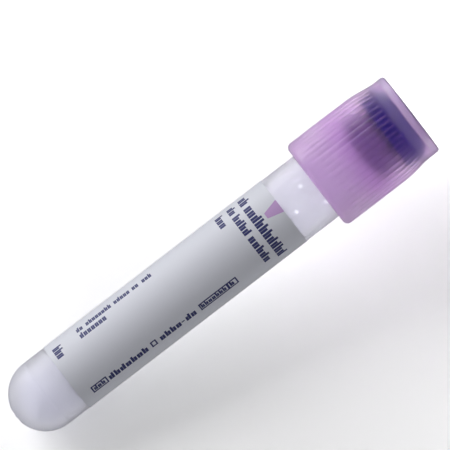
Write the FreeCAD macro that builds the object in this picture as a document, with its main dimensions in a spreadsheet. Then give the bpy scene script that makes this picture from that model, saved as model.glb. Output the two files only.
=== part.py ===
import FreeCAD, Part
import math
import os

import Sketcher

# Evacuated blood collection tube with a rubber stopper under a plastic shield.
# Every piece is drawn round one upright axis: Z runs from the rounded tip of the
# tube (z = 0) to the closure. The whole is then turned over, because such a tube
# rolls on its side and stands only on the flat top of its closure.

SIZES = (
    ("tube_length", 75.0, "rounded tip to rim"),
    ("tube_diameter", 12.2, "outside of the straight barrel"),
    ("tube_wall", 1.1, "side wall of the tube"),
    ("bottom_wall", 1.3, "wall at the tip"),
    ("mouth_flare", 0.2, "gain in radius from barrel to mouth"),
    ("flare_lead", 1.0, "skirt's rim to the foot of the flare, which the skirt hides"),
    ("flare_length", 0.8, "stretch over which the mouth widens"),
    ("rim_break", 0.2, "chamfer of the rim's edges"),
    ("gate_diameter", 2.6, "sunk disc at the tip where the mould was filled"),
    ("gate_depth", 0.25, "depth of that disc, from the tip"),
    ("gate_stub", 0.9, "diameter of the cut-off stub in the disc"),
    ("label_start", 10.4, "tip to the lower edge of the label"),
    ("label_clear", 6.5, "upper edge of the label to the skirt's rim"),
    ("label_wrap", 290.0, "degrees of the tube that the label covers"),
    ("label_edge", -3.0, "angle of the label's first long edge"),
    ("label_thickness", 0.1, "paper and glue"),
    ("label_corner", 1.0, "corner radius of the label"),
    ("speck_count", 16, "dried specks of additive"),
    ("speck_lap", 2.0, "how far the specks reach under the label"),
    ("speck_end", 0.6, "last speck to the foot of the flare"),
    ("speck_radius", 0.25, "centre to corner of a mean speck"),
    ("speck_height", 0.2, "how far a mean speck stands off the wall"),
    ("speck_spread", 0.35, "share by which specks differ in size"),
    ("plug_length", 5.2, "stopper below the rim"),
    ("plug_gap", 0.28, "plug to mouth bore, between the beads"),
    ("bead_gap", 0.03, "seal bead to mouth bore"),
    ("bead_clear", 0.55, "top of the plug's lead-in to the lower bead"),
    ("bead_spacing", 1.7, "lower bead to upper bead"),
    ("bead_width", 1.1, "seal bead at its root, along the axis"),
    ("bead_crest", 0.4, "flat crest of a seal bead"),
    ("plug_lead", 0.7, "lead-in at the foot of the plug"),
    ("well_diameter", 5.0, "well in the underside of the plug"),
    ("well_depth", 3.4, "depth of that well"),
    ("flange_catch", 0.5, "how far the snap ring reaches under the stopper's flange"),
    ("flange_thickness", 4.5, "stopper above the rim"),
    ("flange_side", 2.4, "straight side of the flange, below its crown"),
    ("crown_inset", 1.3, "how far the flange's crown draws in"),
    ("flange_break", 0.3, "chamfer of the flange's edges"),
    ("dish_diameter", 7.6, "needle dish in the top of the stopper"),
    ("dish_floor", 4.6, "diameter of the dish's flat floor"),
    ("dish_depth", 1.1, "depth of that dish"),
    ("skirt_wall", 1.15, "wall of the shield's skirt"),
    ("skirt_depth", 13.7, "skirt below the tube's rim"),
    ("skirt_gap", 0.65, "inside of the skirt to the tube's mouth"),
    ("lip_flat", 0.15, "flat left on the skirt's rim by its outer rounding"),
    ("band_wall", 0.55, "wall of the shield round the stopper's flange"),
    ("top_wall", 1.25, "shield over the stopper's flange"),
    ("top_break", 0.5, "chamfer of the top edge"),
    ("shoulder_start", 0.5, "shoulder below the tube's rim"),
    ("shoulder_length", 3.6, "shoulder, skirt to top band"),
    ("pocket_gap", 0.05, "play of the flange in the shield, each way"),
    ("ring_gap", 0.15, "snap ring to the tube's mouth"),
    ("ring_length", 1.5, "snap ring, along the axis"),
    ("port_diameter", 8.6, "needle port"),
    ("port_lead", 0.45, "funnel round the port"),
    ("flute_count", 45, "grip flutes round the skirt"),
    ("flute_angle", 4.0, "width of one flute in degrees"),
    ("flute_depth", 0.15, "depth of a flute"),
    ("flute_start", 2.8, "skirt's rim to the foot of the flutes"),
)

TOUCH = 1e-4  # mm within which two places are the same

doc = FreeCAD.newDocument("BloodCollectionTube")
sheet = doc.addObject("Spreadsheet::Sheet", "Sizes")


class Size:
    """A number that remembers the sheet formula it comes from, so that a sketch can be bound to it."""

    def __init__(self, number, formula=None):
        self.number = float(number)
        self.formula = formula or str(number)

    def joined(self, sign, other, number):
        return Size(number, "(%s %s %s)" % (self.formula, sign, other.formula))

    def __add__(self, other):
        other = as_size(other)
        return self.joined("+", other, self.number + other.number)

    def __sub__(self, other):
        other = as_size(other)
        return self.joined("-", other, self.number - other.number)

    def __mul__(self, other):
        other = as_size(other)
        return self.joined("*", other, self.number * other.number)

    def __truediv__(self, other):
        other = as_size(other)
        return self.joined("/", other, self.number / other.number)


def as_size(value):
    return value if isinstance(value, Size) else Size(value)


def fill_sheet():
    """Write the driving sizes to the sheet and return them by name."""
    sizes = {}
    for row, (name, value, meaning) in enumerate(SIZES, start=1):
        sheet.set("A%d" % row, name)
        sheet.set("B%d" % row, str(value))
        sheet.set("C%d" % row, meaning)
        sheet.setAlias("B%d" % row, name)
        sizes[name] = Size(value, "Sizes." + name)
    doc.recompute()
    return sizes


# ---------------------------------------------------------------- sketches


def origin_feature(body, role):
    return next(f for f in body.Origin.OriginFeatures if f.Role == role)


def new_body(label):
    body = doc.addObject("PartDesign::Body", label)
    body.Label = label
    return body


def arc_through(first, last, radius):
    """Arc between two points, counter-clockwise for a positive radius and clockwise for a negative one."""
    chord = last - first
    half = chord.Length / 2
    rise = math.sqrt(max(radius * radius - half * half, 0.0))
    left = FreeCAD.Vector(-chord.y, chord.x, 0).normalize()
    centre = (first + last) * 0.5 + left * math.copysign(rise, radius)
    start, end = (first, last) if radius > 0 else (last, first)
    angles = [math.atan2(p.y - centre.y, p.x - centre.x) for p in (start, end)]
    circle = Part.Circle(centre, FreeCAD.Vector(0, 0, 1), abs(radius))
    return Part.ArcOfCircle(circle, *angles)


def pin_coordinate(sketch, direction, axis, geometry, end, size):
    """Fix one coordinate of a sketch point, on the axis itself where it is nought."""
    if size.number == 0:
        sketch.addConstraint(Sketcher.Constraint("PointOnObject", geometry, end, axis))
        return
    index = sketch.addConstraint(
        Sketcher.Constraint(direction, -1, 1, geometry, end, size.number)
    )
    sketch.setExpression("Constraints[%d]" % index, size.formula)


def draw_profile(body, name, corners):
    """Closed half-section in the XZ plane. Each corner is (radius, height) and, where an arc
    runs to the next corner, that arc's radius: positive counter-clockwise."""
    sketch = body.newObject("Sketcher::SketchObject", name)
    sketch.AttachmentSupport = [(origin_feature(body, "XZ_Plane"), "")]
    sketch.MapMode = "FlatFace"
    corners = [tuple(as_size(value) for value in corner) for corner in corners]
    points = [FreeCAD.Vector(c[0].number, c[1].number, 0) for c in corners]
    ends = []
    for index, corner in enumerate(corners):
        first, last = points[index], points[(index + 1) % len(points)]
        if len(corner) == 2:
            geometry = sketch.addGeometry(Part.LineSegment(first, last))
            ends.append((geometry, 1, 2))
            continue
        bend = corner[2]
        geometry = sketch.addGeometry(arc_through(first, last, bend.number))
        ends.append((geometry, 1, 2) if bend.number > 0 else (geometry, 2, 1))
    for index, (geometry, start, end) in enumerate(ends):
        following = ends[(index + 1) % len(ends)]
        sketch.addConstraint(
            Sketcher.Constraint("Coincident", geometry, end, following[0], following[1])
        )
    for corner, (geometry, start, end) in zip(corners, ends):
        pin_coordinate(sketch, "DistanceX", -2, geometry, start, corner[0])
        pin_coordinate(sketch, "DistanceY", -1, geometry, start, corner[1])
        if len(corner) == 3:
            bend = corner[2]
            index = sketch.addConstraint(
                Sketcher.Constraint("Radius", geometry, abs(bend.number))
            )
            sign = "" if bend.number > 0 else "-"
            sketch.setExpression("Constraints[%d]" % index, sign + bend.formula)
    doc.recompute()
    return sketch


def turn(body, name, corners, kind="Revolution"):
    """Add a revolved solid (Revolution) or take one away (Groove)."""
    sketch = draw_profile(body, name + "Profile", corners)
    feature = body.newObject("PartDesign::" + kind, name)
    feature.Profile = sketch
    feature.ReferenceAxis = (sketch, ["V_Axis"])
    feature.Angle = 360.0
    sketch.Visibility = False
    doc.recompute()
    return feature


def ring_edges(feature, radius, height):
    """Names of a feature's full circles round the axis with this radius and height."""
    found = []
    for number, edge in enumerate(feature.Shape.Edges, start=1):
        if edge.Degenerated or not isinstance(edge.Curve, Part.Circle):
            continue
        centre = edge.Curve.Center
        off_axis = math.hypot(centre.x, centre.y)
        offsets = (off_axis, edge.Curve.Radius - radius, centre.z - height)
        if all(abs(offset) < TOUCH for offset in offsets):
            found.append("Edge%d" % number)
    return found


def dress_rings(body, base, name, kind, amount, rings):
    """Fillet or chamfer the circles at these (radius, height) places by one bound amount."""
    edges = []
    for radius, height in rings:
        edges += ring_edges(base, radius.number, height.number)
    if len(edges) != len(rings):
        raise RuntimeError("%s: %d of %d edges found" % (name, len(edges), len(rings)))
    feature = body.newObject("PartDesign::" + kind, name)
    feature.Base = (base, edges)
    size = "Radius" if kind == "Fillet" else "Size"
    setattr(feature, size, amount.number)
    feature.setExpression(size, amount.formula)
    doc.recompute()
    return feature


def must_cut(before, after):
    """A cut that takes nothing away has gone the wrong way."""
    if not after.Shape.Volume < before.Shape.Volume:
        raise RuntimeError("%s cuts nothing" % after.Label)


def cap_radius(half_width, rise):
    """Radius of the arc that rises this much over this half width."""
    return (half_width * half_width + rise * rise) / (rise * 2)


# ---------------------------------------------------------------- shared places

s = fill_sheet()
rim = s["tube_length"]
barrel_radius = s["tube_diameter"] / 2
bore_radius = barrel_radius - s["tube_wall"]
mouth_radius = barrel_radius + s["mouth_flare"]
seal_radius = mouth_radius - s["tube_wall"]
inner_radius = mouth_radius + s["skirt_gap"]
skirt_radius = inner_radius + s["skirt_wall"]
skirt_rim = rim - s["skirt_depth"]
lip_round = s["skirt_wall"] - s["lip_flat"]
flare_foot = skirt_rim + s["flare_lead"]
label_end = skirt_rim - s["label_clear"]
ring_radius = mouth_radius + s["ring_gap"]
flange_radius = ring_radius + s["flange_catch"]
flange_top = rim + s["flange_thickness"]
crown_foot = rim + s["flange_side"]
crown_radius = flange_radius - s["crown_inset"]
pocket_radius = flange_radius + s["pocket_gap"]
pocket_top = flange_top + s["pocket_gap"]
band_radius = pocket_radius + s["band_wall"]
closure_top = pocket_top + s["top_wall"]


# ---------------------------------------------------------------- tube


def make_tube():
    """Moulded clear tube: round bottom, straight barrel, slightly wider mouth that the plug seals in."""
    body = new_body("tube")
    flare_top = flare_foot + s["flare_length"]
    bowl_centre = s["bottom_wall"] + bore_radius
    wall = turn(
        body,
        "Wall",
        (
            (0, 0, barrel_radius),
            (barrel_radius, barrel_radius),
            (barrel_radius, flare_foot),
            (mouth_radius, flare_top),
            (mouth_radius, rim),
            (seal_radius, rim),
            (seal_radius, flare_top),
            (bore_radius, flare_foot),
            (bore_radius, bowl_centre, bore_radius * -1),
            (0, s["bottom_wall"]),
        ),
    )
    gate_radius = s["gate_diameter"] / 2
    stub_radius = s["gate_stub"] / 2
    gate = turn(
        body,
        "Gate",
        (
            (gate_radius, 0),
            (gate_radius, s["gate_depth"]),
            (stub_radius, s["gate_depth"]),
            (stub_radius, 0),
        ),
        "Groove",
    )
    must_cut(wall, gate)
    dress_rings(
        body,
        gate,
        "RimBreak",
        "Chamfer",
        s["rim_break"],
        ((mouth_radius, rim), (seal_radius, rim)),
    )
    return body


# ---------------------------------------------------------------- label


def make_label():
    """Paper label rolled part-way round the barrel, with rounded corners."""
    body = new_body("label")
    outer_radius = barrel_radius + s["label_thickness"]
    roll = turn(
        body,
        "Roll",
        (
            (barrel_radius, s["label_start"]),
            (outer_radius, s["label_start"]),
            (outer_radius, label_end),
            (barrel_radius, label_end),
        ),
    )
    roll.setExpression("Angle", s["label_wrap"].formula)
    turned = FreeCAD.Rotation(FreeCAD.Vector(0, 1, 0), s["label_edge"].number)
    roll.Profile[0].AttachmentOffset = FreeCAD.Placement(FreeCAD.Vector(), turned)
    doc.recompute()
    corners = [
        "Edge%d" % number
        for number, edge in enumerate(roll.Shape.Edges, start=1)
        if isinstance(edge.Curve, Part.Line)
        and abs(edge.Length - s["label_thickness"].number) < TOUCH
    ]
    rounding = body.newObject("PartDesign::Fillet", "CornerRound")
    rounding.Base = (roll, corners)
    rounding.Radius = s["label_corner"].number
    rounding.setExpression("Radius", s["label_corner"].formula)
    return body


# ---------------------------------------------------------------- dried additive


def hexagonal_prism(radius, start, length):
    """Six-sided prism along X with this radius to its corners."""
    corners = []
    for side in range(7):
        angle = math.pi / 3 * side
        corners.append(FreeCAD.Vector(start, radius * math.cos(angle), radius * math.sin(angle)))
    return Part.Face(Part.makePolygon(corners)).extrude(FreeCAD.Vector(length, 0, 0))


def make_additive():
    """Specks of sprayed additive: small six-sided crystals that stand inwards off the bore."""
    first = label_end.number - s["speck_lap"].number
    reach = flare_foot.number - s["speck_end"].number - first
    sprayed = Part.makeCylinder(bore_radius.number, flare_foot.number)
    upright = FreeCAD.Vector(0, 0, 1)
    golden_angle = 180 * (3 - math.sqrt(5))
    count = int(s["speck_count"].number)
    specks = []
    for index in range(count):
        turned = golden_angle * index
        scale = 1 + s["speck_spread"].number * math.sin(math.radians(turned))
        radius = s["speck_radius"].number * scale
        height = s["speck_height"].number * scale
        speck = hexagonal_prism(radius, bore_radius.number - height, height + radius)
        level = FreeCAD.Vector(0, 0, first + reach * index / (count - 1))
        speck.Placement = FreeCAD.Placement(level, FreeCAD.Rotation(upright, turned))
        specks.append(sprayed.common(speck))
    node = doc.addObject("Part::Feature", "dried_additive")
    node.Label = "dried_additive"
    node.Shape = Part.makeCompound([solid for speck in specks for solid in speck.Solids])
    return node


# ---------------------------------------------------------------- stopper


def seal_bead(plug_radius, middle):
    """Corners of one seal bead, from its foot to its top."""
    crest_radius = seal_radius - s["bead_gap"]
    half_root = s["bead_width"] / 2
    half_crest = s["bead_crest"] / 2
    return (
        (plug_radius, middle - half_root),
        (crest_radius, middle - half_crest),
        (crest_radius, middle + half_crest),
        (plug_radius, middle + half_root),
    )


def make_stopper():
    """Rubber stopper: crowned flange, plug with two seal beads, needle dish and lower well."""
    body = new_body("stopper")
    plug_radius = seal_radius - s["plug_gap"]
    plug_foot = rim - s["plug_length"]
    well_radius = s["well_diameter"] / 2
    well_top = plug_foot + s["well_depth"]
    lower_bead = plug_foot + s["plug_lead"] + s["bead_clear"] + s["bead_width"] / 2
    solid = turn(
        body,
        "Solid",
        (
            (0, well_top),
            (well_radius, well_top - well_radius / 2),
            (well_radius, plug_foot),
            (plug_radius, plug_foot),
            *seal_bead(plug_radius, lower_bead),
            *seal_bead(plug_radius, lower_bead + s["bead_spacing"]),
            (plug_radius, rim),
            (flange_radius, rim),
            (flange_radius, crown_foot, cap_radius(flange_top - crown_foot, s["crown_inset"])),
            (crown_radius, flange_top),
            (0, flange_top),
        ),
    )
    dish_bottom = flange_top - s["dish_depth"]
    dish = turn(
        body,
        "Dish",
        (
            (0, dish_bottom),
            (s["dish_floor"] / 2, dish_bottom),
            (s["dish_diameter"] / 2, flange_top),
            (0, flange_top),
        ),
        "Groove",
    )
    must_cut(solid, dish)
    lead = dress_rings(
        body, dish, "PlugLead", "Chamfer", s["plug_lead"], ((plug_radius, plug_foot),)
    )
    dress_rings(
        body,
        lead,
        "FlangeBreak",
        "Chamfer",
        s["flange_break"],
        ((crown_radius, flange_top), (flange_radius, rim)),
    )
    return body


# ---------------------------------------------------------------- shield


def make_shield():
    """Moulded overcap: skirt, shoulder, top wall with port, snap ring under the flange, grip flutes."""
    body = new_body("shield")
    shoulder_foot = rim - s["shoulder_start"]
    shoulder_top = shoulder_foot + s["shoulder_length"]
    ring_top = rim - s["pocket_gap"]
    ring_foot = ring_top - s["ring_length"]
    ring_lead = inner_radius - ring_radius
    port_radius = s["port_diameter"] / 2
    shell = turn(
        body,
        "Shell",
        (
            (skirt_radius, skirt_rim),
            (skirt_radius, shoulder_foot),
            (band_radius, shoulder_top),
            (band_radius, closure_top),
            (port_radius, closure_top),
            (port_radius, pocket_top),
            (pocket_radius, pocket_top),
            (pocket_radius, ring_top),
            (ring_radius, ring_top),
            (ring_radius, ring_foot),
            (inner_radius, ring_foot - ring_lead),
            (inner_radius, skirt_rim),
        ),
    )
    lip = dress_rings(
        body, shell, "LipRound", "Fillet", lip_round, ((skirt_radius, skirt_rim),)
    )
    top_edge = dress_rings(
        body, lip, "TopBreak", "Chamfer", s["top_break"], ((band_radius, closure_top),)
    )
    funnel = dress_rings(
        body, top_edge, "PortLead", "Chamfer", s["port_lead"], ((port_radius, closure_top),)
    )
    flute_foot = skirt_rim + s["flute_start"]
    floor_radius = skirt_radius - s["flute_depth"]
    outside = skirt_radius + s["flute_depth"]
    flute = turn(
        body,
        "Flute",
        (
            (skirt_radius, flute_foot),
            (outside, flute_foot),
            (outside, shoulder_top),
            (band_radius, shoulder_top),
            (floor_radius, shoulder_foot),
            (floor_radius, flute_foot + s["flute_depth"]),
        ),
        "Groove",
    )
    flute.setExpression("Angle", s["flute_angle"].formula)
    flute.Midplane = True
    doc.recompute()
    must_cut(funnel, flute)
    grip = body.newObject("PartDesign::PolarPattern", "Grip")
    grip.Originals = [flute]
    grip.Axis = (origin_feature(body, "Z_Axis"), [""])
    grip.Angle = 360.0
    grip.Occurrences = int(s["flute_count"].number)
    grip.setExpression("Occurrences", s["flute_count"].formula)
    body.Tip = grip
    return body


# ---------------------------------------------------------------- standing


def standing_placement():
    """Turned over, with the flat top of the closure on z = 0 and the axis on x = y = 0."""
    turned = FreeCAD.Rotation(FreeCAD.Vector(1, 0, 0), 180)
    return FreeCAD.Placement(FreeCAD.Vector(0, 0, closure_top.number), turned)


def check(objects):
    for item in doc.Objects:
        if "Invalid" in item.State or "Error" in item.State:
            raise RuntimeError("%s failed: %s" % (item.Name, item.State))
    for item in objects:
        if item.Shape.isNull() or not item.Shape.isValid():
            raise RuntimeError("%s has no valid shape" % item.Label)


pieces = [make_tube(), make_label(), make_additive(), make_stopper(), make_shield()]
doc.recompute()
standing = standing_placement()
for piece in pieces:
    piece.Placement = standing
doc.recompute()
check(pieces)
os.makedirs("parts", exist_ok=True)
for piece in pieces:
    piece.Shape.exportStep("parts/%s.step" % piece.Label)
    box = piece.Shape.optimalBoundingBox(False)
    print(
        "%-15s %d solids %9.2f mm3  x %.2f..%.2f  y %.2f..%.2f  z %.3f..%.2f"
        % (
            piece.Label,
            len(piece.Shape.Solids),
            piece.Shape.Volume,
            box.XMin,
            box.XMax,
            box.YMin,
            box.YMax,
            box.ZMin,
            box.ZMax,
        )
    )
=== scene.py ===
import math
import random

import bmesh
import bpy
from mathutils import Matrix, Vector


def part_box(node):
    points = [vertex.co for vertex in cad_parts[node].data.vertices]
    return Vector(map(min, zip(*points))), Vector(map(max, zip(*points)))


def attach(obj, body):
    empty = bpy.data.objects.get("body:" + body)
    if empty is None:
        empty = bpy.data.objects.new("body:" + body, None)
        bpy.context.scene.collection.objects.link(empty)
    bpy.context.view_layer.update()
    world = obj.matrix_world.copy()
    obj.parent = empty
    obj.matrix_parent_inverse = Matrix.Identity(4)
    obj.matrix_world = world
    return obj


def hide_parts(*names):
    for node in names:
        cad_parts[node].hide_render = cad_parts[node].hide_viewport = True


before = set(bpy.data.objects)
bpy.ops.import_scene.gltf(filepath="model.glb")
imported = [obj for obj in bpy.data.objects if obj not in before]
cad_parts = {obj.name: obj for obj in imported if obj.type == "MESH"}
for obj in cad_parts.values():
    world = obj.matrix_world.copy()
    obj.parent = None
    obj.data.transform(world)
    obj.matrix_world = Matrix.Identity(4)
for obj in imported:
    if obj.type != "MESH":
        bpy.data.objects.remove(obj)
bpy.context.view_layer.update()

# A blood collection tube, stood on its closure. Z climbs from the closure's flat top to
# the tube's rounded tip. The label's printed front looks along -Y. Sizes are in metres.

MM = 0.001

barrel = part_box("tube")
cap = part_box("shield")
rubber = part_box("stopper")
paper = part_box("label")

tip = barrel[1].z
rim = barrel[0].z
mouth_radius = barrel[1].x
skirt_radius = cap[1].x
skirt_rim = cap[1].z
closure_top = cap[0].z
flange_radius = rubber[1].x
flange_top = rubber[0].z
plug_foot = rubber[1].z
label_outside = paper[1].x
label_foot = paper[1].z
label_top = paper[0].z

label_thickness = 0.1 * MM
barrel_radius = label_outside - label_thickness
tube_wall = 1.1 * MM


# ---------------------------------------------------------------- camera

SENSOR_WIDTH = 36.0
NEAR_CLIP = 0.01
FAR_CLIP = 20.0


def look_from(eye, target, across, view_width, distance):
    """Camera at eye that looks at target, with its right side along the direction across."""
    forward = (target - eye).normalized()
    right = (across - forward * across.dot(forward)).normalized()
    up = right.cross(forward)
    camera = bpy.data.objects.new("Camera", bpy.data.cameras.new("Camera"))
    camera.matrix_world = Matrix.Translation(eye) @ Matrix((right, up, -forward)).transposed().to_4x4()
    camera.data.sensor_width = SENSOR_WIDTH
    camera.data.lens = SENSOR_WIDTH / 2 / (view_width / 2 / distance)
    camera.data.clip_start = NEAR_CLIP
    camera.data.clip_end = FAR_CLIP
    bpy.context.collection.objects.link(camera)
    bpy.context.scene.camera = camera


camera_distance = 1.2
view_width = 0.0729
eye_height = 0.0176
target_aside, target_height = 0.004, 0.035
lean = math.radians(37.5)
eye = Vector((0.0, -camera_distance, eye_height))
target = Vector((target_aside, 0.0, target_height))
across = Vector((-math.sin(lean), 0.0, -math.cos(lean)))
look_from(eye, target, across, view_width, camera_distance)


# ---------------------------------------------------------------- materials

# Sockets that have to be named by their place.
MIX_FACTOR, MIX_FIRST, MIX_SECOND, MIX_RESULT = 0, 6, 7, 2
OBJECT_COORDINATES = 3
ATTRIBUTE_NUMBER = 2
BACKFACING = 6

# The curve between a screen's values and the linear ones.
SCREEN_TOE = 0.04045
SCREEN_TOE_SLOPE = 12.92
SCREEN_OFFSET = 0.055
SCREEN_POWER = 2.4


class Wire:
    """One output of a node, which plain arithmetic adds Math nodes to."""

    def __init__(self, finish, socket):
        self.finish = finish
        self.socket = socket

    def math(self, operation, *others):
        return self.finish.node("ShaderNodeMath", {"operation": operation}, self, *others)

    def __add__(self, other):
        return self.math("ADD", other)

    def __sub__(self, other):
        return self.math("SUBTRACT", other)

    def __rsub__(self, other):
        return self.finish.node("ShaderNodeMath", {"operation": "SUBTRACT"}, other, self)

    def __mul__(self, other):
        return self.math("MULTIPLY", other)

    def __truediv__(self, other):
        return self.math("DIVIDE", other)

    def __lt__(self, other):
        return self.math("LESS_THAN", other)

    def __gt__(self, other):
        return self.math("GREATER_THAN", other)

    def __abs__(self):
        return self.math("ABSOLUTE")

    def floor(self):
        return self.math("FLOOR")

    def part(self):
        return self.math("FRACT")

    def most(self, other):
        return self.math("MAXIMUM", other)

    def eased(self, low, high):
        """0 at low and 1 at high, with a smooth way between."""
        settings = {"interpolation_type": "SMOOTHSTEP"}
        return self.finish.node("ShaderNodeMapRange", settings, self, low, high, 0.0, 1.0)


class Finish:
    """The nodes of a material or of the world, put together step by step."""

    def __init__(self, owner):
        self.owner = owner
        self.owner.use_nodes = True
        self.tree = owner.node_tree
        self.tree.nodes.clear()

    def node(self, kind, settings, *inputs, output=0, **named):
        """Add a node: its settings first, then its inputs by place or by name."""
        made = self.tree.nodes.new(kind)
        for name, value in settings.items():
            setattr(made, name, value)
        for place, value in enumerate(inputs):
            self.feed(made.inputs[place], value)
        for name, value in named.items():
            self.feed(made.inputs[name.replace("_", " ")], value)
        return Wire(self, made.outputs[output]) if made.outputs else None

    def feed(self, socket, value):
        if isinstance(value, Wire):
            self.tree.links.new(value.socket, socket)
        else:
            socket.default_value = value

    def output(self, surface, kind="ShaderNodeOutputMaterial"):
        self.node(kind, {}, surface)
        return self.owner

    def blend(self, factor, first, second):
        """Mix two colours."""
        mixed = self.tree.nodes.new("ShaderNodeMix")
        mixed.data_type = "RGBA"
        mixed.clamp_factor = True
        for place, value in ((MIX_FACTOR, factor), (MIX_FIRST, first), (MIX_SECOND, second)):
            self.feed(mixed.inputs[place], value)
        return Wire(self, mixed.outputs[MIX_RESULT])

    def share(self, factor, first, second):
        """Mix two surfaces."""
        return self.node("ShaderNodeMixShader", {}, factor, first, second)

    def surface(self, **named):
        return self.node("ShaderNodeBsdfPrincipled", {}, **named)

    def place(self):
        """Object coordinates."""
        return self.node("ShaderNodeTexCoord", {}, output=OBJECT_COORDINATES)

    def split(self, vector):
        """The three parts of a vector."""
        parts = self.tree.nodes.new("ShaderNodeSeparateXYZ")
        self.feed(parts.inputs[0], vector)
        return [Wire(self, socket) for socket in parts.outputs]

    def height(self):
        """Height above the ground in millimetres."""
        return self.split(self.place())[2] / MM

    def attribute(self, name):
        """Number that the mesh carries at each vertex."""
        return self.node("ShaderNodeAttribute", {"attribute_name": name}, output=ATTRIBUTE_NUMBER)

    def ray(self, kind):
        """1 for rays of this kind and 0 for others."""
        path = self.tree.nodes.new("ShaderNodeLightPath")
        return Wire(self, path.outputs[f"Is {kind} Ray"])

    def grain(self, scale, detail):
        """Soft noise between 0 and 1, with scale waves a metre."""
        return self.node("ShaderNodeTexNoise", {}, self.place(), Scale=scale, Detail=detail)

    def bump(self, height, strength, depth):
        return self.node("ShaderNodeBump", {}, Height=height, Strength=strength, Distance=depth)


def colour(red, green, blue):
    """Linear colour of these 0 to 255 screen values."""
    linear = []
    for value in (red, green, blue):
        level = value / 255
        if level <= SCREEN_TOE:
            linear.append(level / SCREEN_TOE_SLOPE)
        else:
            linear.append(((level + SCREEN_OFFSET) / (1 + SCREEN_OFFSET)) ** SCREEN_POWER)
    return (*linear, 1.0)


CLEAR_COLOURS = (colour(242, 242, 249), colour(246, 246, 251))
MILKY_COLOUR = colour(240, 240, 250)
PAPER_COLOUR = colour(228, 230, 240)
STRIPE_COLOUR = colour(205, 168, 222)
INK_COLOUR = colour(20, 30, 108)
SALT_COLOURS = (colour(240, 240, 246), colour(255, 255, 255))
# The additive's painted glow: colours of the light it gives off, though it is no lamp.
SALT_PAINTED_GLOW_COLOURS = (colour(225, 225, 232), colour(255, 255, 255))
RUBBER_COLOURS = (colour(22, 8, 98), colour(34, 18, 122))
DEEP_TINTS = (colour(239, 210, 246), colour(250, 236, 251))
LIGHT_TINTS = (colour(246, 220, 251), colour(252, 239, 253))
FROST_COLOURS = (colour(196, 138, 220), colour(210, 158, 232))
CROWN_COLOUR = colour(226, 214, 247)


def new_finish(name):
    return Finish(bpy.data.materials.new(name))


def clear_plastic():
    """Moulded clear tube with a slight haze, which is a little milky outside the closure."""
    roughness, roughness_spread = 0.3, 0.02
    milky_share, least_milky = 0.16, 0.003
    milky_from, milky_to = 17.0, 20.0
    finish = new_finish("clear_plastic")
    haze = finish.grain(scale=260.0, detail=2.0)
    clear = finish.surface(
        Base_Color=finish.blend(haze, *CLEAR_COLOURS),
        Roughness=haze * roughness_spread + roughness,
        IOR=1.3,
        Transmission_Weight=1.0,
    )
    milky = finish.surface(Base_Color=MILKY_COLOUR, Roughness=0.4)
    outside_closure = finish.height().eased(milky_from, milky_to)
    return finish.output(finish.share(outside_closure * milky_share + least_milky, clear, milky))


def word(finish, along, across, letters, height, pitch, seed):
    """One word of small upright strokes of uneven height, which stands in for print."""
    short = 0.72
    first_place, second_place, half_stroke = 0.2, 0.68, 0.18
    core_place, half_core, core_ink = 0.44, 0.3, 0.75
    first_tall_over, second_tall_under = 0.7, 0.2
    inside = (along > 0.0) * (along < letters * pitch) * (across > 0.0)
    cell = (along / pitch).floor()
    place = (along / pitch).part()
    chance = finish.node("ShaderNodeTexWhiteNoise", {"noise_dimensions": "1D"}, W=cell + seed)
    first_height = ((chance > first_tall_over) * (1 - short) + short) * height
    second_height = ((chance < second_tall_under) * (1 - short) + short) * height
    first = (abs(place - first_place) < half_stroke) * (across < first_height)
    second = (abs(place - second_place) < half_stroke) * (across < second_height)
    core = (abs(place - core_place) < half_core) * (across < short * height) * core_ink
    return inside * first.most(second).most(core)


def frame_box(along, across, length, height, line):
    """Thin outlined box."""
    outside = (abs(along - length / 2) < length / 2) * (abs(across - height / 2) < height / 2)
    core = (abs(along - length / 2) < length / 2 - line) * (abs(across - height / 2) < height / 2 - line)
    return outside - core


# The print's places on the label in millimetres: from the tip, and round the tube from its front
# line. Each word has its start, its base line, its letters, and their height and pitch.
LONG_BASE = 5.15
WORDS_ALONG = (
    (16.3, -5.2, 2, 1.15, 0.64),
    (18.2, -5.2, 8, 1.15, 0.64),
    (23.9, -5.2, 5, 1.15, 0.64),
    (27.6, -5.2, 2, 1.15, 0.64),
    (29.6, -5.2, 3, 1.15, 0.64),
    (16.3, -3.7, 7, 1.15, 0.76),
    (13.0, LONG_BASE - 0.25, 3, 0.9, 0.75),
    (16.0, LONG_BASE, 7, 1.25, 1.14),
    (26.4, LONG_BASE, 4, 1.25, 1.08),
    (31.6, LONG_BASE, 2, 1.25, 1.08),
    (34.8, LONG_BASE - 0.25, 7, 0.9, 0.73),
    (40.6, LONG_BASE - 0.25, 1, 0.9, 0.9),
)
WORDS_ROUND = (
    (-5.65, 11.3, 3, 1.7, 0.85),
    (-7.1, 49.6, 2, 1.85, 1.05),
    (-4.4, 49.6, 10, 1.85, 1.08),
    (-6.9, 47.3, 2, 1.5, 1.0),
    (-4.4, 47.3, 4, 1.5, 1.0),
    (0.1, 47.3, 5, 1.5, 1.08),
    (-6.9, 44.9, 3, 1.5, 1.0),
)
# Each box has its start, its base line, its length, its height and its line's width. The last one
# is filled, for a dash.
BOXES = (
    (12.6, LONG_BASE + 0.1, 3.1, 1.45, 0.25),
    (34.5, LONG_BASE + 0.1, 5.8, 1.45, 0.25),
    (40.2, LONG_BASE + 0.1, 1.9, 1.45, 0.25),
    (24.6, LONG_BASE, 1.1, 1.2, 0.25),
    (30.75, LONG_BASE - 0.45, 0.6, 0.22, 1.0),
)
SEED_STEP = 7
STRIPE_EDGE = -9.25
ARROW_BASE, ARROW_PLACE, ARROW_LENGTH, ARROW_HALF, ARROW_SLOPE = 54.8, -1.1, 2.8, 1.2, 0.25
INK_STRENGTH = 0.96


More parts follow.
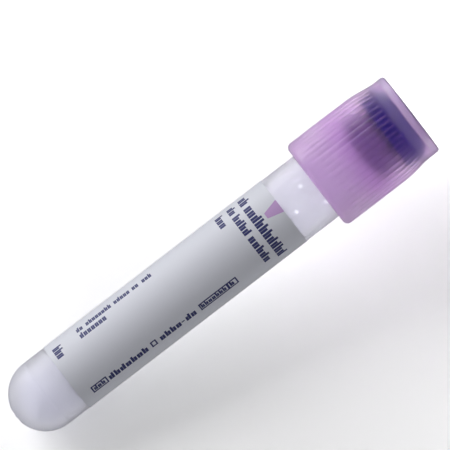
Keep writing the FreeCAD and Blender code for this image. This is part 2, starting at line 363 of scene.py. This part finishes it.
def label_paper():
    """White label with its generic print. The sheet's map is in millimetres: round the tube
    from its front line, and along it from the tip."""
    finish = new_finish("label_paper")
    sheet = finish.node("ShaderNodeUVMap", {"uv_map": "sheet"})
    round_tube, from_tip, _ = finish.split(sheet)
    marks = []
    for start, base, letters, height, pitch in WORDS_ALONG:
        along, across = from_tip - start, base - round_tube
        marks.append(word(finish, along, across, letters, height, pitch, start * SEED_STEP))
    for start, base, letters, height, pitch in WORDS_ROUND:
        along, across = round_tube - start, from_tip - base
        marks.append(word(finish, along, across, letters, height, pitch, start * SEED_STEP + base))
    for start, base, length, height, line in BOXES:
        marks.append(frame_box(from_tip - start, base - round_tube, length, height, line))
    print_mask = marks[0]
    for mark in marks[1:]:
        print_mask = print_mask.most(mark)
    stripe = round_tube < STRIPE_EDGE
    from_base = ARROW_BASE - from_tip
    half_arrow = ARROW_HALF - from_base * ARROW_SLOPE
    arrow = (abs(round_tube - ARROW_PLACE) < half_arrow) * (from_base < ARROW_LENGTH)
    sheet_colour = finish.blend(stripe.most(arrow), PAPER_COLOUR, STRIPE_COLOUR)
    fibre = finish.grain(scale=2400.0, detail=3.0)
    body = finish.surface(
        Base_Color=finish.blend(print_mask * INK_STRENGTH, sheet_colour, INK_COLOUR),
        Roughness=0.6,
        Normal=finish.bump(fibre, strength=0.15, depth=0.02 * MM),
    )
    return finish.output(body)


def salt_with_painted_glow():
    """Dried additive: white, with a fine crystal grain, and a faint painted glow that makes it look lit
    though it is no lamp.
    """
    finish = new_finish("dried_salt_painted_glow")
    crystal = finish.grain(scale=9000.0, detail=2.0)
    body = finish.surface(
        Base_Color=finish.blend(crystal, *SALT_COLOURS),
        Roughness=0.45,
        # Painted light: the additive glows a little, so that it looks lit inside the tube.
        Emission_Color=finish.blend(crystal, *SALT_PAINTED_GLOW_COLOURS),
        Emission_Strength=0.8,
        Normal=finish.bump(crystal, strength=0.3, depth=0.03 * MM),
    )
    return finish.output(body)


def dark_rubber():
    """Stopper's navy rubber, with the fine grain of its mould."""
    roughness, roughness_spread = 0.52, 0.12
    finish = new_finish("dark_rubber")
    grain = finish.grain(scale=1800.0, detail=3.0)
    body = finish.surface(
        Base_Color=finish.blend(grain, *RUBBER_COLOURS),
        Roughness=grain * roughness_spread + roughness,
        Specular_IOR_Level=0.1,
        Normal=finish.bump(grain, strength=0.08, depth=0.02 * MM),
    )
    return finish.output(body)


# Heights in millimetres between which each zone of the shield fades in.
GRIP_ZONE = (5.6, 7.2)
SKIRT_ZONE = (7.0, 12.5)
PALE_RIM_ZONE = (10.5, 15.5)
PLUG_FOOT_START, PLUG_FOOT_END = (9.3, 10.6), (12.5, 14.5)
CROWN_END = (2.9, 3.7)
TOP_END = (0.9, 1.5)
TEETH_START, TEETH_END = (3.3, 3.8), (5.8, 6.4)
GROOVE_SIDE = (0.1, 0.9)

# How much of each zone is frosted.
GRIP_FROST = 0.14
SKIRT_FROST = 0.08
CROWN_FROST = 0.09
TOP_FROST = 0.3
TEETH_FROST = 0.085


def lilac_plastic():
    """Shield: tinted plastic, clearer where it hugs the stopper and frosted on the grip."""
    roughness, roughness_spread, rougher_grip, rougher_foot = 0.36, 0.06, 0.1, 0.22
    finish = new_finish("lilac_plastic")
    height = finish.height()
    grip = height.eased(*GRIP_ZONE)
    skirt = height.eased(*SKIRT_ZONE)
    crown = 1.0 - height.eased(*CROWN_END)
    top = 1.0 - height.eased(*TOP_END)
    at_plug_foot = height.eased(*PLUG_FOOT_START) * (1.0 - height.eased(*PLUG_FOOT_END))
    cloud = finish.grain(scale=900.0, detail=3.0)
    pale_rim = height.eased(*PALE_RIM_ZONE)
    deep = finish.blend(pale_rim, *DEEP_TINTS)
    light = finish.blend(pale_rim, *LIGHT_TINTS)
    tinted = finish.surface(
        Base_Color=finish.blend(cloud, deep, light),
        Roughness=cloud * roughness_spread + grip * rougher_grip + at_plug_foot * rougher_foot + roughness,
        IOR=1.22,
        Transmission_Weight=1.0,
        Coat_Weight=finish.attribute("outer_skin"),
        Coat_Roughness=0.35,
        Coat_IOR=1.5,
        Sheen_Weight=0.4,
        Sheen_Roughness=0.4,
    )
    purple = finish.blend(cloud, *FROST_COLOURS)
    frosted = finish.surface(Base_Color=finish.blend(crown, purple, CROWN_COLOUR), Roughness=0.5)
    groove = finish.attribute("flute").eased(*GROOVE_SIDE)
    teeth = height.eased(*TEETH_START) * (1.0 - height.eased(*TEETH_END)) * groove
    frost = grip * GRIP_FROST + skirt * SKIRT_FROST + crown * CROWN_FROST
    frost = frost + top * TOP_FROST + teeth * TEETH_FROST
    return finish.output(finish.share(frost, tinted, frosted))


# ---------------------------------------------------------------- shaping

SHARP_ANGLE = math.radians(40.0)
ARC_PROFILE = 0.5
SAME_PLACE = 1e-7
NO_LENGTH = 1e-8


def finished_mesh(name, bm, finish, body, slot, *nodes):
    """Piece with this material that rides on a body and stands for these nodes."""
    mesh = bpy.data.meshes.new(name)
    bm.to_mesh(mesh)
    bm.free()
    for face in mesh.polygons:
        face.use_smooth = True
    mesh.set_sharp_from_angle(angle=SHARP_ANGLE)
    mesh.materials.append(finish)
    made = bpy.data.objects.new(name, mesh)
    bpy.context.collection.objects.link(made)
    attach(made, body)
    if nodes:
        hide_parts(*nodes)


def round_off(bm, verts, radius, facets):
    """Round these corners."""
    bmesh.ops.bevel(
        bm,
        geom=verts,
        offset=radius,
        offset_type="OFFSET",
        segments=facets,
        profile=ARC_PROFILE,
        affect="VERTICES",
        material=-1,
        clamp_overlap=False,
    )


def turned(corners, steps):
    """Solid turned round the Z axis from a half-section. Each of its corners has its radius and
    height, and a rounded one its rounding and the number of facets too."""
    bm = bmesh.new()
    verts = [bm.verts.new((corner[0], 0.0, corner[1])) for corner in corners]
    for first, last in zip(verts, verts[1:] + verts[:1]):
        bm.edges.new((first, last))
    for vert, (_, _, *rounding) in zip(verts, corners):
        if rounding:
            round_off(bm, [vert], *rounding)
    bmesh.ops.spin(
        bm,
        geom=bm.verts[:] + bm.edges[:],
        cent=(0, 0, 0),
        axis=(0, 0, 1),
        dvec=(0, 0, 0),
        angle=math.tau,
        steps=steps,
        use_merge=True,
        use_duplicate=False,
    )
    bmesh.ops.remove_doubles(bm, verts=bm.verts, dist=SAME_PLACE)
    bmesh.ops.dissolve_degenerate(bm, edges=bm.edges, dist=NO_LENGTH)
    bmesh.ops.recalc_face_normals(bm, faces=bm.faces)
    return bm


def make_tube():
    """Barrel with a rounded end, a faint ring round it, a flared mouth and a sunk gate."""
    bore = barrel_radius - tube_wall
    floor = tip - 1.3 * MM
    flare = skirt_rim - 1.0 * MM
    flared = flare - 0.8 * MM
    seal = mouth_radius - tube_wall
    ring_start, ring_middle, ring_end = tip - 6.25 * MM, tip - 6.35 * MM, tip - 6.5 * MM
    ring_depth = 0.04 * MM
    nearly_whole = 0.9999
    outer_dome = (barrel_radius * nearly_whole, 40)
    inner_dome = (bore * nearly_whole, 36)
    bend = (0.3 * MM, 3)
    rim_round = (0.3 * MM, 4)
    corners = (
        (0.0, tip),
        (barrel_radius, tip, *outer_dome),
        (barrel_radius, ring_start),
        (barrel_radius - ring_depth, ring_middle),
        (barrel_radius, ring_end),
        (barrel_radius, flare, *bend),
        (mouth_radius, flared, *bend),
        (mouth_radius, rim, *rim_round),
        (seal, rim, *rim_round),
        (seal, flared, *bend),
        (bore, flare, *bend),
        (bore, floor, *inner_dome),
        (0.0, floor),
    )
    bm = turned(corners, steps=180)
    gate_inside, gate_outside = 0.45 * MM, 1.3 * MM
    gate_depth = 0.25 * MM
    for vert in bm.verts:
        from_axis = math.hypot(vert.co.x, vert.co.y)
        if gate_inside < from_axis < gate_outside and vert.co.z > tip - gate_depth:
            vert.co.z = tip - gate_depth
    finished_mesh("clear_tube", bm, clear_plastic(), "tube_body", "tube", "tube")


def make_label():
    """Flat sheet with rounded corners, rolled round the barrel and given its thickness."""
    wrap_degrees, first_edge_degrees = 290.0, -3.0
    corner_round, corner_facets = 1.0 * MM, 6
    strips = 180
    inside = barrel_radius + 0.02 * MM
    thickness = 0.07 * MM
    half_wrap = math.radians(wrap_degrees) / 2
    middle = math.radians(first_edge_degrees + wrap_degrees / 2)
    width = half_wrap * 2 * barrel_radius
    left, right = -width / 2, width / 2
    bm = bmesh.new()
    verts = []
    for x, z in ((left, label_foot), (left, label_top), (right, label_top), (right, label_foot)):
        verts.append(bm.verts.new((x, 0.0, z)))
    bm.faces.new(verts)
    round_off(bm, bm.verts[:], corner_round, corner_facets)
    for index in range(1, strips):
        x = width * (index / strips - 1 / 2)
        bmesh.ops.bisect_plane(
            bm, geom=bm.verts[:] + bm.edges[:] + bm.faces[:], plane_co=(x, 0, 0), plane_no=(1, 0, 0)
        )
    sheet = bm.loops.layers.uv.new("sheet")
    for face in bm.faces:
        for loop in face.loops:
            to_front = loop.vert.co.x + (middle - math.pi / 2) * barrel_radius
            loop[sheet].uv = (to_front / MM, (tip - loop.vert.co.z) / MM)
    for vert in bm.verts:
        turn = middle + vert.co.x / barrel_radius
        vert.co.x = inside * math.cos(turn)
        vert.co.y = -inside * math.sin(turn)
    bmesh.ops.recalc_face_normals(bm, faces=bm.faces)
    bmesh.ops.solidify(bm, geom=bm.faces[:], thickness=-thickness)
    bmesh.ops.recalc_face_normals(bm, faces=bm.faces)
    finished_mesh("wrapped_label", bm, label_paper(), "tube_body", "label", "label")


def make_stopper():
    """Rubber stopper: crowned flange with a dish, and a plug with two beads and a well."""
    bore = mouth_radius - tube_wall
    plug = bore - 0.28 * MM
    squeezed = bore + 0.01 * MM
    well = 2.5 * MM
    well_end = plug_foot - 3.4 * MM
    bead_round = (0.08 * MM, 2)
    bead_half, crest_half = 0.8 * MM, 0.6 * MM
    beads = []
    for middle_of_bead in (plug_foot - 1.8 * MM, plug_foot - 3.5 * MM):
        beads.append((plug, middle_of_bead + bead_half, *bead_round))
        beads.append((squeezed, middle_of_bead + crest_half, *bead_round))
        beads.append((squeezed, middle_of_bead - crest_half, *bead_round))
        beads.append((plug, middle_of_bead - bead_half, *bead_round))
    crown_foot = rim - 2.4 * MM
    crown_steps = 8
    drop = crown_foot - flange_top
    draw_in = 1.3 * MM
    bend = (drop * drop + draw_in * draw_in) / (draw_in * 2)
    crown = []
    for step in range(crown_steps + 1):
        turn = math.asin(drop / bend) * step / crown_steps
        crown.append((flange_radius - bend * (1 - math.cos(turn)), crown_foot - bend * math.sin(turn)))
    crown_edge = (0.2 * MM, 3)
    crown[-1] = (*crown[-1], *crown_edge)
    well_round = (1.2 * MM, 6)
    edge_round = (0.3 * MM, 3)
    plug_lead = (0.7 * MM, 5)
    plug_top_round = (0.1 * MM, 2)
    flange_round = (0.3 * MM, 4)
    dish_floor = flange_top + 1.1 * MM
    dish_rim_radius, dish_floor_radius = 3.8 * MM, 2.3 * MM
    dish_round = (0.5 * MM, 3)
    corners = (
        (0.0, well_end),
        (well, well_end, *well_round),
        (well, plug_foot, *edge_round),
        (plug, plug_foot, *plug_lead),
        *beads,
        (plug, rim, *plug_top_round),
        (flange_radius, rim, *flange_round),
        *crown,
        (dish_rim_radius, flange_top, *edge_round),
        (dish_floor_radius, dish_floor, *dish_round),
        (0.0, dish_floor),
    )
    bm = turned(corners, steps=144)
    finished_mesh("rubber_stopper", bm, dark_rubber(), "stopper_body", "stopper", "stopper")


# The grooves: how many, half a groove's width as part of the way to the next one, how deep, and
# how long each takes to run out at its foot and at its end.
FLUTES = 45
FLUTE_HALF = 0.27
FLUTE_DEPTH = 0.12 * MM
FOOT_RUN, END_RUN = 0.3 * MM, 0.4 * MM


def cut_flutes(bm, band):
    """Press the grooves into the skirt, and mark them and the outer skin for the material."""
    flute_foot = skirt_rim - 2.8 * MM
    flute_end = rim - 2.2 * MM
    skin_from = band - 0.35 * MM
    flute = bm.verts.layers.float.new("flute")
    outer_skin = bm.verts.layers.float.new("outer_skin")
    for vert in bm.verts:
        radius = math.hypot(vert.co.x, vert.co.y)
        vert[outer_skin] = float(radius > skin_from)
        turn = math.atan2(vert.co.y, vert.co.x) / math.tau * FLUTES
        off_centre = abs(turn - round(turn))
        groove = max(0.0, 1 - (off_centre / FLUTE_HALF) ** 2)
        vert[flute] = groove
        above_foot = flute_foot - vert.co.z
        to_end = vert.co.z - flute_end
        if radius < band or above_foot < 0 or to_end < 0:
            continue
        runs_out = min(1.0, above_foot / FOOT_RUN) * min(1.0, to_end / END_RUN)
        shrink = (radius - FLUTE_DEPTH * groove * runs_out) / radius
        vert.co.x *= shrink
        vert.co.y *= shrink


def make_shield():
    """Overcap: skirt, shoulder, band, port, the flange's pocket and the ring that snaps under it."""
    inner = mouth_radius + 0.65 * MM
    ring = mouth_radius + 0.15 * MM
    pocket = flange_radius + 0.05 * MM
    pocket_top = flange_top - 0.05 * MM
    band = pocket + 0.55 * MM
    port = 4.3 * MM
    shoulder_foot = rim + 0.5 * MM
    shoulder_top = shoulder_foot - 3.6 * MM
    ring_top = rim + 0.05 * MM
    ring_foot = ring_top + 1.5 * MM
    ring_ramp = ring_foot + 0.5 * MM
    skirt_round = (1.0 * MM, 6)
    shoulder_round = (1.2 * MM, 5)
    band_round = (0.6 * MM, 5)
    end_round = (0.5 * MM, 5)
    port_lead = (0.45 * MM, 4)
    inner_round = (0.15 * MM, 2)
    pocket_round = (0.1 * MM, 2)
    ramp_round = (0.3 * MM, 2)
    rim_break = (0.12 * MM, 3)
    flute_rows = [(skirt_radius, skirt_rim - below * MM) for below in (2.9, 3.2, 3.5)]
    slope_rows = [(band + out * MM, rim - above * MM) for out, above in ((0.196, 1.82), (0.134, 2.22))]
    corners = (
        (skirt_radius, skirt_rim, *skirt_round),
        *flute_rows,
        (skirt_radius, shoulder_foot, *shoulder_round),
        *slope_rows,
        (band, shoulder_top, *band_round),
        (band, closure_top, *end_round),
        (port, closure_top, *port_lead),
        (port, pocket_top, *inner_round),
        (pocket, pocket_top, *pocket_round),
        (pocket, ring_top, *pocket_round),
        (ring, ring_top, *inner_round),
        (ring, ring_foot, *ramp_round),
        (inner, ring_ramp, *ramp_round),
        (inner, skirt_rim, *rim_break),
    )
    bm = turned(corners, steps=540)
    cut_flutes(bm, band)
    finished_mesh("frosted_shield", bm, lilac_plastic(), "shield_body", "shield", "shield")


# The larger flakes: how far from the tip and how far to the side, in millimetres.
LARGE_FLAKES = (
    (59.1572, -2.5446),
    (60.2593, -2.5122),
    (56.6451, -1.9773),
    (55.9968, 0.0486),
    (57.1799, 0.4214),
    (58.8169, 0.3241),
    (60.0162, 2.9173),
)
LARGE_FLAKE = 0.16
FINE_FLAKES = 70
FINE_TURNS = (0.6, 5.7)
FINE_SIZES = (0.05, 0.14)
FLAKE_SIDES = 6
FLAKE_REACH = (0.7, 1.2)
FLAKE_PEAK = 0.5
FLAKE_SEED = 11


def make_flakes(salt):
    """Fine dried additive between the larger specks, on the inner wall below the label."""
    rng = random.Random(FLAKE_SEED)
    inner_wall = barrel_radius - tube_wall
    wall_in_mm = 5.0
    foot = inner_wall - 0.01 * MM
    low, high = skirt_rim + 0.5 * MM, label_top + 1.5 * MM
    spots = []
    for from_tip, aside in LARGE_FLAKES:
        spots.append((math.asin(aside / wall_in_mm), tip - from_tip * MM, LARGE_FLAKE))
    for _ in range(FINE_FLAKES):
        spots.append((rng.uniform(*FINE_TURNS), rng.uniform(low, high), rng.uniform(*FINE_SIZES)))
    bm = bmesh.new()
    for turn, height, size in spots:
        corners = []
        spin = rng.uniform(0.0, 1.0)
        for corner in range(FLAKE_SIDES):
            angle = spin + corner * math.tau / FLAKE_SIDES
            reach = size * rng.uniform(*FLAKE_REACH) * MM
            around = turn + reach * math.cos(angle) / inner_wall
            spot = (-foot * math.sin(around), -foot * math.cos(around), height + reach * math.sin(angle))
            corners.append(bm.verts.new(spot))
        inward = inner_wall - size * FLAKE_PEAK * MM
        peak = bm.verts.new((-inward * math.sin(turn), -inward * math.cos(turn), height))
        for corner in range(FLAKE_SIDES):
            bm.faces.new((corners[corner - 1], corners[corner], peak))
        bm.faces.new(corners[::-1])
    bmesh.ops.recalc_face_normals(bm, faces=bm.faces)
    finished_mesh("additive_flakes", bm, salt, "tube_body", "dried_additive")


# The additive's material carries a painted glow, which stands in for light on the specks.
salt = salt_with_painted_glow()
make_tube()
make_label()
make_flakes(salt)
make_stopper()
make_shield()
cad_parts["dried_additive"].data.materials.clear()
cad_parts["dried_additive"].data.materials.append(salt)


# ---------------------------------------------------------------- stage and light

# How light the ground is in itself, and what rays through clear plastic add to that, and what
# mirrored rays take from it.
GROUND_LIGHTNESS = 0.82
THROUGH_PLASTIC = 1.6
MIRRORED = 0.6
FLOOR_SEEN = 1.6
BACKDROP_SEEN = 1.1


def stage_plane(name, corners, material):
    """Four-cornered staged surface."""
    mesh = bpy.data.meshes.new(name)
    mesh.from_pydata(corners, [], [(0, 1, 2, 3)])
    mesh.materials.append(material)
    made = bpy.data.objects.new(name, mesh)
    bpy.context.collection.objects.link(made)


def ground_lightness(finish, seen, through_plastic):
    """Matt white that is lighter for the camera and through clear plastic, and that
    hardly shows in a sheen."""
    lightness = finish.ray("Camera") * seen + finish.ray("Transmission") * through_plastic
    return lightness - finish.ray("Glossy") * MIRRORED + GROUND_LIGHTNESS


def pale_floor():
    """Floor that glows a little, so that it's white where no shadow falls."""
    glow_through_plastic, glow_seen = 1.15, 0.6
    finish = new_finish("pale_floor")
    matt = finish.node(
        "ShaderNodeBsdfDiffuse", {}, Color=ground_lightness(finish, FLOOR_SEEN, THROUGH_PLASTIC)
    )
    strength = finish.ray("Transmission") * glow_through_plastic + finish.ray("Camera") * glow_seen
    glow = finish.node("ShaderNodeEmission", {}, Strength=strength)
    return finish.output(finish.node("ShaderNodeAddShader", {}, matt, glow))


def pale_backdrop():
    """One-sided, and no bar to the lamps behind it. It is a little lighter low down: painted light that
    keeps the tube's shadow up near its tip darker and the ground behind the closure and seen through the
    plastic whiter.
    """
    painted_light_zone = (0.0, 60.0)
    painted_light_seen, painted_light_through_plastic = 0.4, 0.5
    finish = new_finish("pale_backdrop")
    # Painted light: the backdrop is lighter low down, so that the tube's shadow near its tip stays darker
    # than the ground behind the closure.
    low = 1.0 - finish.height().eased(*painted_light_zone)
    lightness = ground_lightness(
        finish, low * painted_light_seen + BACKDROP_SEEN, low * painted_light_through_plastic + THROUGH_PLASTIC
    )
    matt = finish.node("ShaderNodeBsdfDiffuse", {}, Color=lightness)
    back = finish.node("ShaderNodeNewGeometry", {}, output=BACKFACING)
    open_to = back.most(finish.ray("Shadow"))
    return finish.output(finish.share(open_to, matt, finish.node("ShaderNodeBsdfTransparent", {})))


floor_half = 3.0
stage_plane(
    "floor",
    [
        (-floor_half, -floor_half, 0.0),
        (floor_half, -floor_half, 0.0),
        (floor_half, floor_half, 0.0),
        (-floor_half, floor_half, 0.0),
    ],
    pale_floor(),
)

# The backdrop leans against the tube's rounded end, as ground that the tube lies on.
backdrop_slope = 0.26
backdrop_touch, touch_height = 6.4 * MM, 0.078
backdrop_half, backdrop_height = 0.15, 0.125
backdrop = []
for x, z in (
    (-backdrop_half, 0.0),
    (backdrop_half, 0.0),
    (backdrop_half, backdrop_height),
    (-backdrop_half, backdrop_height),
):
    backdrop.append((x, backdrop_touch + (touch_height - z) * backdrop_slope, z))
stage_plane("backdrop", backdrop, pale_backdrop())

# Each lamp has its direction from the object's middle, its width, its height, its power in watts
# and the kinds of rays that it's hidden from.
LAMP_DISTANCE = 0.6
LAMPS = {
    "key_light": ((0.84, -0.54, 0.22), 0.42, 0.42, 2.0, ("glossy", "transmission")),
    "edge_light": ((1.0, 0.3, 0.05), 0.5, 0.5, 1.0, ()),
    "fill_light": ((-0.95, 0.3, 0.1), 0.4, 0.4, 0.8, ("glossy",)),
    "sheen_light": ((1.0, -0.05, 0.1), 0.4, 0.6, 3.7, ("diffuse", "transmission")),
}
middle_height = 0.04
middle = Vector((0.0, 0.0, middle_height))
for name, (direction, width, height, power, hidden_from) in LAMPS.items():
    lamp = bpy.data.lights.new(name, "AREA")
    lamp.shape = "RECTANGLE"
    lamp.size = width
    lamp.size_y = height
    lamp.energy = power
    made = bpy.data.objects.new(name, lamp)
    made.location = middle + Vector(direction).normalized() * LAMP_DISTANCE
    made.rotation_euler = (middle - made.location).to_track_quat("-Z", "Y").to_euler()
    for ray in hidden_from:
        setattr(made, "visible_" + ray, False)
    bpy.context.collection.objects.link(made)

# The surroundings are dim, but white for the camera and through clear plastic.
dim, seen, through_plastic, mirrored = 0.2, 0.8, 0.7, 0.15
sky = Finish(bpy.data.worlds.new("studio"))
strength = sky.ray("Camera") * seen + sky.ray("Transmission") * through_plastic
strength = strength - sky.ray("Glossy") * mirrored + dim
white = (1.0, 1.0, 1.0, 1.0)
light = sky.node("ShaderNodeBackground", {}, Color=white, Strength=strength)
bpy.context.scene.world = sky.output(light, "ShaderNodeOutputWorld")

bpy.context.scene.view_settings.view_transform = "Standard"
